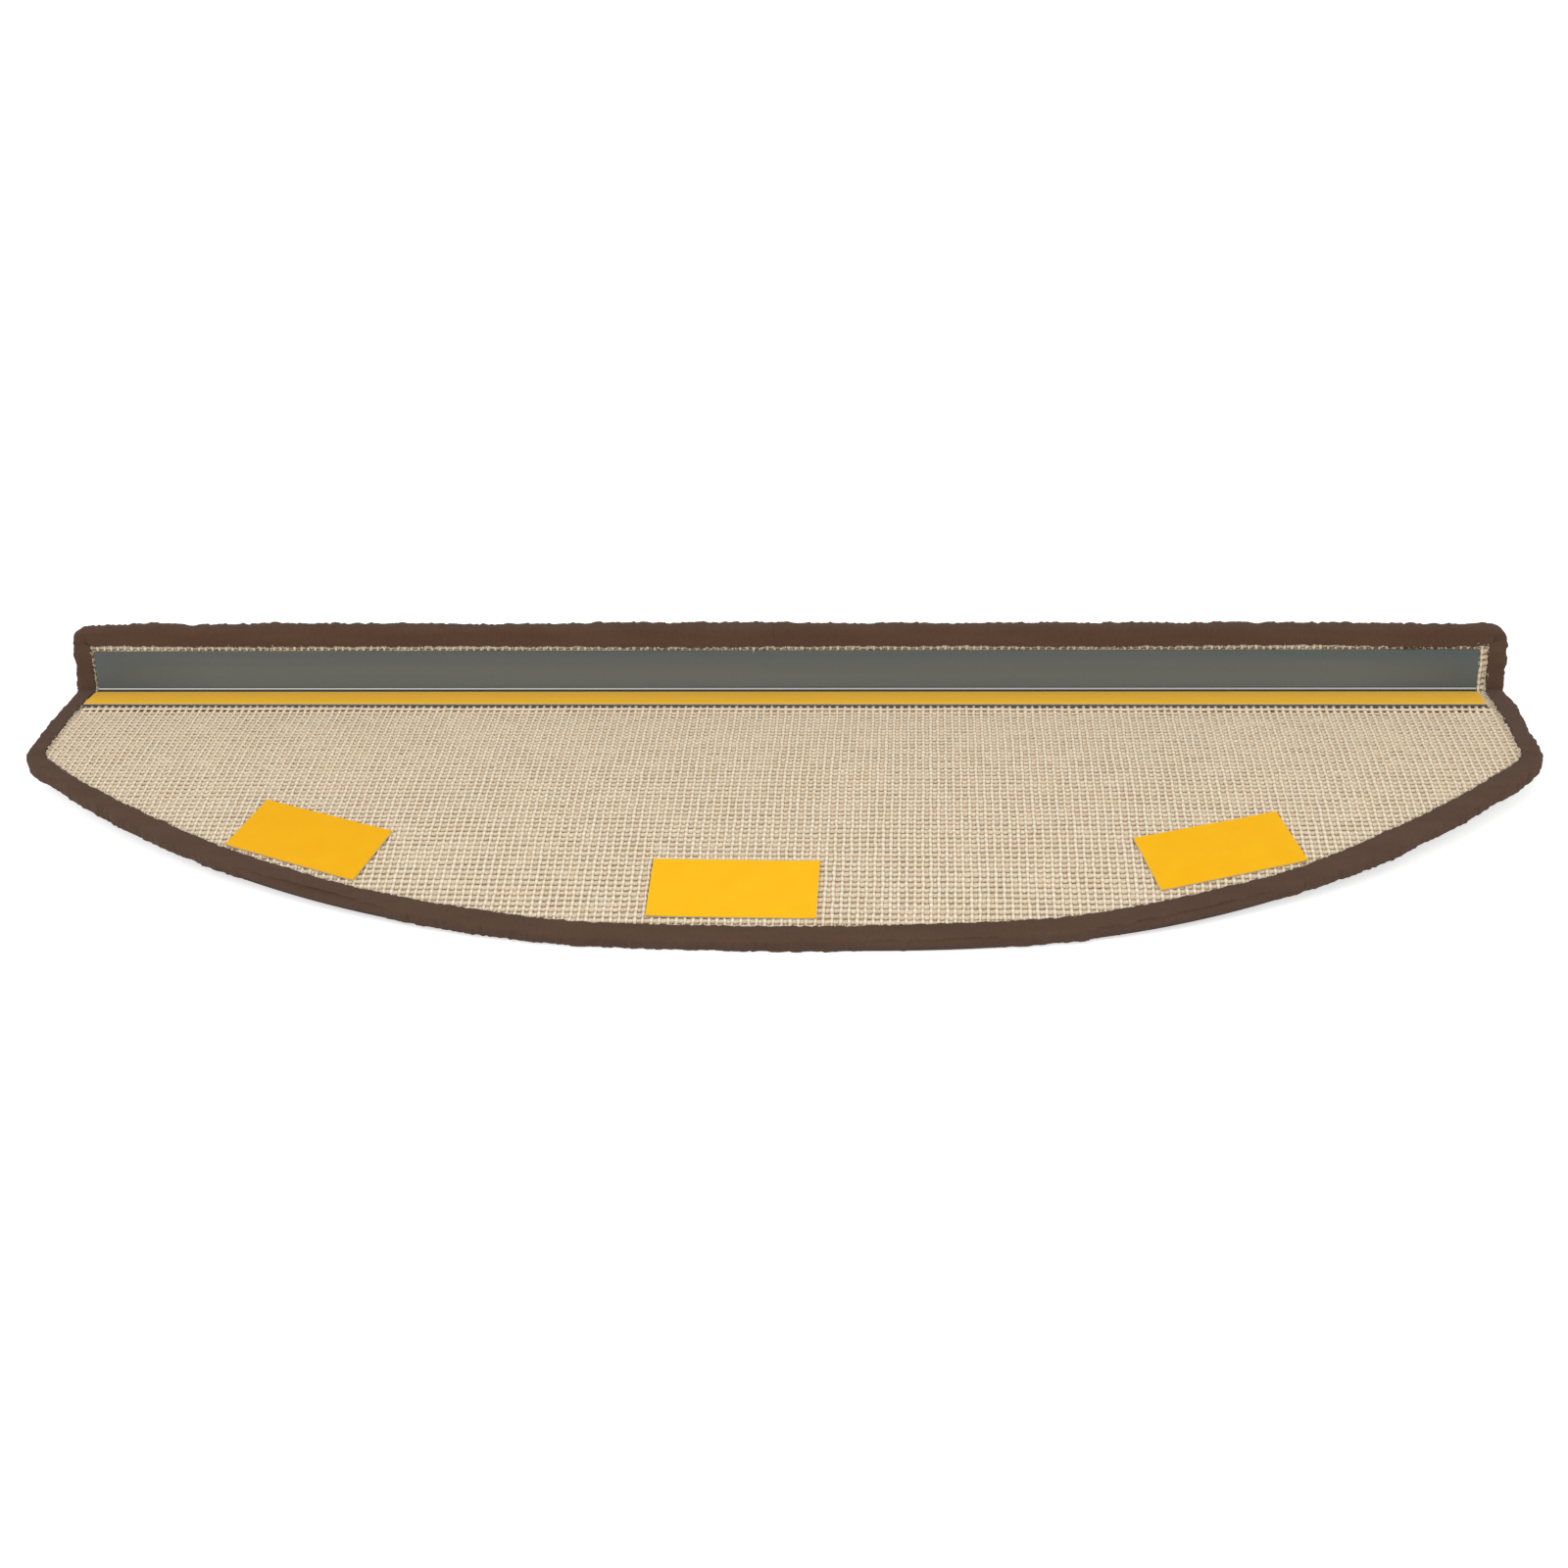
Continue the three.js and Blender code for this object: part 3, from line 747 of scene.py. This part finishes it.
# The coated cloth that the yarns lie in, seen only between them
def coatedGround():
    inset = pile["edgeInset"]
    forward = np.linspace(inset - mat["flapHeight"], mat["treadDepth"] - inset - 1 * mm, pile["groundRows"])
    extra = np.linspace(-mat["foldRadius"], mat["foldRadius"], 8)
    forward = np.sort(np.concatenate([forward[abs(forward) > mat["foldRadius"]], extra]))
    left, right = -reachAt(forward, inset, -1), reachAt(forward, inset, 1)
    share = np.linspace(0, 1, 4)
    x = left[:, None] * (1 - share) + right[:, None] * share
    x = np.concatenate([x, x[:, ::-1]], 1)
    low, high = pile["top"] + 0.01 * mm, pile["top"] + pile["ground"]
    points = bend(x, forward[:, None], np.repeat([low, high], 4)[None, :] + heldUp(x, forward[:, None]))
    rows, corners = points.shape[:2]
    quads = gridQuads(rows, corners, closeColumns=True)
    caps = [list(range(corners - 1, -1, -1)), list(range((rows - 1) * corners, rows * corners))]
    finish = groundFinish()
    return addPiece("coated_ground", points, quads, finish, "carpet", caps, smooth=False)


# The binding's section as insets and lifts, with its outward directions; 1 marks what shows
def bindingSection():
    top = binding["gap"] + binding["yarn"]
    bottom = -mat["thickness"] - top
    radius, width, yarn, lip = binding["rounding"], binding["width"], binding["yarn"], binding["lipRound"]
    section = []

    def rounded(inset, lift, size, degrees):
        for angle in np.radians(degrees):
            out, up = math.cos(angle), math.sin(angle)
            section.append((inset + size * out, lift + size * up, out, up, 1))

    rounded(width - lip, top - lip, lip, [0, 45, 90])
    for inset in np.linspace(width - lip, radius, 7)[1:-1]:
        section.append((inset, top, 0, 1, 1))
    rounded(radius, top - radius, radius, np.linspace(90, 180, 6))
    section.append((0, (top + bottom) / 2, -1, 0, 1))
    rounded(radius, bottom + radius, radius, np.linspace(180, 270, 6))
    for inset in np.linspace(radius, width, 5)[1:]:
        section.append((inset, bottom, 0, -1, 1))
    section.append((width, bottom + yarn, 0, 0, 0))
    section.append((yarn, bottom + yarn, 0, 0, 0))
    section.append((yarn, binding["gap"], 0, 0, 0))
    section.append((width, binding["gap"], 0, 0, 0))
    return np.array(section)


# How much further out and further in the binding was sewn, at points of the flat mat's edge
def sewnFurther(edge):
    further = np.zeros((2, len(edge)))
    for x, forward, spread, out, into in binding["uneven"]:
        near = np.exp(-((edge - np.array([x, forward]) * mm) ** 2).sum(axis=1) / (spread * mm) ** 2)
        further += near * np.array([[out], [into]]) * mm
    return further


def edgeBinding():
    section, step = bindingSection(), binding["step"]
    base = wholeEdge(0, step)
    inner = wholeEdge(1 * mm, step)
    gone = np.linalg.norm(np.diff(base, axis=0, append=base[:1]), axis=1)
    along = np.concatenate([[0], np.cumsum(gone)[:-1]])
    whole = gone.sum()
    wraps = round(whole / binding["wrapPitch"])
    outward = (base - inner) / np.linalg.norm(base - inner, axis=1)[:, None]
    further = sewnFurther(base)
    creep = further[1] + binding["creep"] * (softNoise(along, 5 * mm, binding["creepSize"], 46) - 0.5)
    creep = creep + binding["creepFine"] * (softNoise(along, 5 * mm, binding["creepFineSize"], 45) - 0.5)
    rings = []
    across = np.concatenate([[0], np.cumsum(np.linalg.norm(np.diff(section[:, :2], axis=0), axis=1))])
    for inset, lift, out, up, shows in section:
        edge = wholeEdge(inset, step)
        turns = along / whole * wraps + binding["slant"] * inset / binding["wrapPitch"] * np.sign(up)
        tuck = 0.5 + 0.5 * np.cos(2 * math.pi * turns)
        swell = binding["wrapHeight"] * (tuck - 0.5) * (0.7 + 0.6 * softNoise(along, inset, 3 * mm, 41))
        lumps = binding["lump"] * (softNoise(along, 0.1 * lift, binding["lumpSize"], 42) - 0.5)
        lumps = lumps + binding["wave"] * (softNoise(along, 0, binding["waveSize"], 43) - 0.5)
        lumps = lumps + binding["fineLump"] * (softNoise(along, 0.2 * lift, binding["fineSize"], 44) - 0.5)
        outer = max(0.0, 1 - inset / (binding["lumpReach"] * binding["width"])) ** 2
        swell = shows * (swell + outer * lumps)
        shift = -out * swell + shows * outer * further[0]
        if lift > 0:
            shift = shift - creep * (inset / binding["width"]) ** 3
        flat = edge + outward * shift[:, None]
        raised = up * swell * (binding["liftShare"] if outer > 0 and up else 1)
        rings.append(bend(flat[:, 0], flat[:, 1], lift + raised))
    points = np.stack(rings, 1)                # stations along the edge, then the section
    stations, corners = points.shape[:2]
    quads = gridQuads(stations, corners, closeRows=True, closeColumns=True)[:, ::-1]
    piece = addPiece("serged_edge", points, quads, sergedFinish(), "edge_binding")
    wrap = np.stack([*np.meshgrid(along, across, indexing="ij"), np.zeros((stations, corners))], -1)
    piece.data.attributes.new("wrap", "FLOAT_VECTOR", "POINT").data.foreach_set("vector", wrap.ravel())
    print("serged edge:", stations, "stations,", wraps, "wraps")
    return piece


# Loose fibres: cream ends and brown ones at the inner lip, and brown hairs on the outer rim
fray = dict(
    cream=dict(inset=binding["width"] - 0.4 * mm, step=0.3 * mm, length=1.25 * mm, radius=0.2 * mm,
               base=0, lift=(0, 0.5), way=1, turn=0.7, tilt=(0.05, 0.6), share=(0.45, 1.2)),
    brown=dict(inset=binding["width"] - 0.15 * mm, step=0.6 * mm, length=0.7 * mm, radius=0.07 * mm,
               base=0, lift=(0.4, 0.75), way=1, turn=0.8, tilt=(-0.2, 0.7), share=(0.4, 1.3)),
    hair=dict(inset=0.15 * mm, step=0.8 * mm, length=0.4 * mm, radius=0.07 * mm,
              base=-mat["thickness"] / 2, lift=(-2.1, 2.1), way=-1, turn=0.7, tiltSpread=0.4,
              share=(0.4, 1.2)),
    curl=0.35, besideWarp=-0.1, onTop=2 * mm, oneInFlap=3.5,
    stations=(0, 0.35, 0.7, 1.0), taper=(1.0, 0.9, 0.65, 0.25),
)


# Short tapered fibres: each starts at a flat point and lift and leans along a direction in the flat mat
def fibres(name, starts, leans, lengths, radius, seed, material, node, slot):
    draw = np.random.default_rng(seed)
    count = len(starts)
    curl = draw.normal(0, fray["curl"], (count, 3))
    stations, thick = np.array(fray["stations"]), radius * np.array(fray["taper"])
    along = leans / np.linalg.norm(leans, axis=1)[:, None]
    side = np.cross(along, draw.normal(0, 1, (count, 3)))
    side /= np.linalg.norm(side, axis=1)[:, None]
    other = np.cross(along, side)
    rings = []
    for share, width in zip(stations, thick):
        centre = starts + lengths[:, None] * (along * share + curl * share ** 2)
        centre[:, 2] = np.maximum(centre[:, 2], starts[:, 2] - 0.1 * mm)
        for angle in np.radians([0, 120, 240]):
            rings.append(centre + width * (side * math.cos(angle) + other * math.sin(angle)))
    flat = np.stack(rings, 1).reshape(-1, 3)
    quads = gridQuads(len(stations), 3, closeColumns=True)
    quads = (np.arange(count)[:, None, None] * 12 + quads[None]).reshape(-1, 4)
    caps = [cap for k in range(0, count * 12, 12) for cap in ((k + 2, k + 1, k), (k + 9, k + 10, k + 11))]
    return addPiece(name, bend(flat[:, 0], flat[:, 1], flat[:, 2]), quads, material, node, caps)


# Places on the binding's rim or its inner lip, with the way inwards at each
def edgePlaces(inset, step, draw):
    edge, deeper = wholeEdge(inset, step), wholeEdge(inset + 0.5 * mm, step)
    into = (deeper - edge) / np.linalg.norm(deeper - edge, axis=1)[:, None]
    edge = edge + sideways(into) * (draw.uniform(-0.5, 0.5, len(edge))[:, None] * step)
    out, further = sewnFurther(edge - into * inset)
    return edge + into * np.where(inset > binding["width"] / 2, further, -out)[:, None], into


# One sort of loose fibre; keep picks among its places
def looseSort(name, sort, seed, draw, finish, node, slot, keep=None):
    edge, into = edgePlaces(sort["inset"], sort["step"], draw)
    if keep:
        kept = keep(edge)
        edge, into = edge[kept], into[kept]
    count = len(edge)
    starts = np.column_stack([edge, draw.uniform(*sort["lift"], count) * mm + sort["base"]])
    leans = sort["way"] * into + draw.normal(0, sort["turn"], count)[:, None] * sideways(into)
    if "tilt" in sort:
        leans = np.column_stack([leans, draw.uniform(*sort["tilt"], count)])
    else:
        leans = np.column_stack([leans, draw.normal(0, sort["tiltSpread"], count)])
    lengths = sort["length"] * draw.uniform(*sort["share"], count)
    return fibres(name, starts, leans, lengths, sort["radius"], seed, finish, node, slot)


def looseFibres():
    draw = np.random.default_rng(61)

    # Mostly on the flap: beside each warp along its top, and everywhere along its ends
    def frayed(edge):
        besideWarp = np.cos(2 * math.pi * edge[:, 0] / warp["pitch"]) > fray["besideWarp"]
        onTop = edge[:, 1] < binding["width"] + fray["onTop"] - mat["flapHeight"]
        onFlap = (edge[:, 1] < 1 * mm) & (besideWarp | ~onTop)
        return onFlap | (draw.random(len(edge)) < 1 / fray["oneInFlap"])

    finish = warpFinish()
    cream = looseSort("frayed_cream", fray["cream"], 62, draw, finish, "carpet", "woven_backing", frayed)
    # the frayed ends take full painted light
    crown = cream.data.attributes.new("crown", "FLOAT", "POINT").data
    crown.foreach_set("value", [1.0] * len(crown))
    brown = sergedFinish()
    looseSort("inner_fuzz", fray["brown"], 63, draw, brown, "edge_binding", "serged_edge")
    looseSort("outer_fuzz", fray["hair"], 64, draw, brown, "edge_binding", "serged_edge")
    print("loose fibres made")


# An outline of forward and up points carried along X, with flat ends
def drawnStrip(name, outline, left, right, steps, material, node):
    outline = np.array(outline)
    x = np.linspace(left, right, steps)
    points = place(x[:, None], outline[None, :, 0], outline[None, :, 1])
    count = len(outline)
    quads = gridQuads(steps, count, closeColumns=True)
    caps = [list(range(count - 1, -1, -1)), list(range((steps - 1) * count, steps * count))]
    piece = addPiece(name, points, quads, material, node, caps)
    piece.data.set_sharp_from_angle(angle=math.radians(35))
    return piece


def arc(forward, up, radius, start, end, steps):
    angles = np.radians(np.linspace(start, end, steps))
    return [(forward + radius * math.cos(angle), up + radius * math.sin(angle)) for angle in angles]


def angleProfile():
    seat, edge = profile["seat"], profile["edgeRound"]
    inner, outer = seat + profile["wall"], seat + mat["foldRadius"]
    reach, rise = seat + profile["reach"], seat + profile["rise"]
    root = inner + profile["fillet"]
    outline = [
        *arc(reach - edge, seat + edge, edge, -90, 0, 4),
        *arc(reach - edge, inner - edge, edge, 0, 90, 4),
        *arc(root, root, profile["fillet"], -90, -180, 9),
        *arc(inner - edge, rise - edge, edge, 0, 90, 4),
        *arc(seat + edge, rise - edge, edge, 90, 180, 4),
        *arc(outer, outer, mat["foldRadius"], 180, 270, 9),
    ]
    left, right = profile["leftEnd"] - mat["halfWidth"], mat["halfWidth"] - profile["rightEnd"]
    finish = profileFinish()
    return drawnStrip("grey_angle", outline, left, right, 60, finish, "angle_profile")


def stripOutline(bottom, height):
    front = profile["seat"] + profile["reach"] - strip["endInset"]
    back, edge = front - strip["width"], 0.4 * height
    return [
        *arc(front - edge, bottom + edge, edge, -90, 0, 3),
        *arc(front - edge, bottom + height - edge, edge, 0, 90, 3),
        *arc(back + edge, bottom + height - edge, edge, 90, 180, 3),
        *arc(back + edge, bottom + edge, edge, 180, 270, 3),
    ]


def noseStrip():
    left = profile["leftEnd"] - mat["halfWidth"] + strip["endInset"]
    right = mat["halfWidth"] - profile["rightEnd"] - strip["endInset"]
    tapeBottom = 2 * profile["seat"] + profile["wall"]
    linerBottom = tapeBottom + strip["tape"] + strip["layerGap"]
    drawnStrip("nose_tape", stripOutline(tapeBottom, strip["tape"]), left, right, 40, tapeFinish(),
               "profile_tape")
    drawnStrip("nose_liner", stripOutline(linerBottom, strip["liner"]), left, right, 40,
               linerFinish("stripLiner", "strip"), "profile_liner")


pads = dict(
    width=26.4 * mm, tape=0.6 * mm, liner=0.15 * mm, overhang=0.2 * mm, cornerLift=0.25 * mm,
    ragged=0.12 * mm, cockle=0.05 * mm,
    places=dict(                                # across, in from the front edge, length, twist
        left=(-158.4 * mm, 23.1 * mm, 52.3 * mm, 0.0),
        centre=(-6.2 * mm, 23.8 * mm, 57.4 * mm, 0.0),
        right=(159.2 * mm, 24.9 * mm, 52.3 * mm, -0.045),
    ),
)


# A thin plate on the bowed weave, as a closed grid with its own lift at each point
def bentPlate(name, side, size, bottom, height, material, node):
    across, inset, length, twist = pads["places"][side]
    turned = frontTurn(across)
    forward = float(frontEdge(across)) - inset / math.cos(turned)
    turned += twist
    u = np.linspace(-0.5, 0.5, 49)[None, :] * (length + size)
    v = np.linspace(-0.5, 0.5, 25)[:, None] * (pads["width"] + size)
    ragged = pads["ragged"] * (softNoise(u + across, 0, 9 * mm, 51) - 0.5) * (2 * v / pads["width"])
    x = across + u * math.cos(turned) - (v + ragged) * math.sin(turned)
    ahead = forward - u * math.sin(turned) - (v + ragged) * math.cos(turned)
    far = np.clip(2 * abs(u) / length, 0, 1) ** 6 * np.clip(2 * abs(v) / pads["width"], 0, 1) ** 4
    lift = pads["cornerLift"] * far * (size > 0) + pads["cockle"] * (softNoise(x, ahead, 8 * mm, 52) - 0.5)
    levels = [bottom + lift, bottom + height + lift]
    rows, columns = x.shape
    lower, upper = [bend(x, ahead, level).reshape(-1, 3) for level in levels]
    count = rows * columns
    quads = [gridQuads(rows, columns)[:, ::-1], gridQuads(rows, columns, start=count)]
    rim = list(range(columns)) + [r * columns + columns - 1 for r in range(1, rows)]
    rim += [(rows - 1) * columns + c for c in range(columns - 2, -1, -1)]
    rim += [r * columns for r in range(rows - 2, 0, -1)]
    rim = np.array(rim)
    after = np.roll(rim, -1)
    quads.append(np.stack([rim, after, after + count, rim + count], -1))
    piece = addPiece(name, np.concatenate([lower, upper]), np.concatenate(quads), material, node)
    piece.data.set_sharp_from_angle(angle=math.radians(40))
    return piece


def adhesivePads():
    foam = tapeFinish()
    for side in pads["places"]:
        bottom = profile["seat"]
        bentPlate(f"pad_foam_{side}", side, 0, bottom, pads["tape"], foam, f"pad_tape_{side}")
        bottom += pads["tape"] + strip["layerGap"]
        bentPlate(f"pad_paper_{side}", side, pads["overhang"], bottom, pads["liner"],
                  linerFinish(f"padLiner{side.title()}", side), f"pad_liner_{side}")
    print("pads and liners made")


# Camera, floor and light
view = dict(
    x=59.3 * mm, y=-629.0 * mm, z=446.9 * mm, down=0.604, turned=0.082, rolled=-0.044,
    focal=2158.0, pixels=1600, sensor=36, nearest=0.01, farthest=50,
)


def placeCamera():
    down, turned, rolled = view["down"], view["turned"], view["rolled"]
    heading = Matrix.Rotation(turned, 3, "Z")
    right = heading @ Vector((1, 0, 0))
    up = heading @ Vector((0, math.sin(down), math.cos(down)))
    rolledRight = right * math.cos(rolled) + up * math.sin(rolled)
    rolledUp = up * math.cos(rolled) - right * math.sin(rolled)
    back = rolledRight.cross(rolledUp)
    camera = bpy.data.objects.new("camera", bpy.data.cameras.new("camera"))
    pose = Matrix((rolledRight, rolledUp, back)).transposed().to_4x4()
    pose.translation = (view["x"], view["y"], view["z"])
    camera.matrix_world = pose
    camera.data.sensor_width = view["sensor"]
    camera.data.lens = view["focal"] / view["pixels"] * view["sensor"]
    camera.data.clip_start, camera.data.clip_end = view["nearest"], view["farthest"]
    bpy.context.scene.collection.objects.link(camera)
    bpy.context.scene.camera = camera


studio = dict(
    floorSize=60.0, floorColors=((238.6, 238.6, 238.6), (241, 241, 241)), floorGlow=0.56, sky=0.53,
    lamps=dict(key=((-0.9, -1.1, 1.6), 1.4, 17.0), fill=((1.2, -0.9, 1.2), 1.6, 10.5)),  # place, size, watts
)


def makeFloor():
    half = studio["floorSize"] / 2
    mesh = bpy.data.meshes.new("floor")
    corners = [(-half, -half, 0), (half, -half, 0), (half, half, 0), (-half, half, 0)]
    mesh.from_pydata(corners, [], [(0, 1, 2, 3)])
    floor = bpy.data.objects.new("floor", mesh)
    bpy.context.scene.collection.objects.link(floor)
    s = Shader("paleFloor")
    tone = s.grain((900 * mm, 900 * mm, 900 * mm), 1.0)
    color = s.mix(s.ramp(tone, 0.3, 0.7), *studio["floorColors"])
    glow = s.seen() * studio["floorGlow"]
    mesh.materials.append(s.finish(Base_Color=color, Roughness=0.9, Specular_IOR_Level=0.0,
                                   Emission_Color=(1, 1, 1, 1), Emission_Strength=glow))


def addLamp(name, place, size, power):
    lamp = bpy.data.lights.new(name, "AREA")
    lamp.shape, lamp.size, lamp.energy = "DISK", size, power
    holder = bpy.data.objects.new(name, lamp)
    holder.location = place
    holder.rotation_euler = (-Vector(place)).to_track_quat("-Z", "Y").to_euler()
    bpy.context.scene.collection.objects.link(holder)


def lightStudio():
    s = Shader("studio", isWorld=True)
    strength = s.seen() * (1 - studio["sky"]) + studio["sky"]
    bpy.context.scene.world = s.finish(Color=(1, 1, 1, 1), Strength=strength)
    for name, (place, size, power) in studio["lamps"].items():
        addLamp(name, place, size, power)
    bpy.context.scene.view_settings.view_transform = "Standard"
    print("camera, floor and light made")


placeCamera()
makeFloor()
lightStudio()
backing = wovenBacking()
carpet = carpetBody()
ground = coatedGround()
edging = edgeBinding()
looseFibres()
angleProfile()
noseStrip()
print("angle strip, tape and liner made")
adhesivePads()

flatEdge = wholeEdge(pile["edgeInset"], 1 * mm)
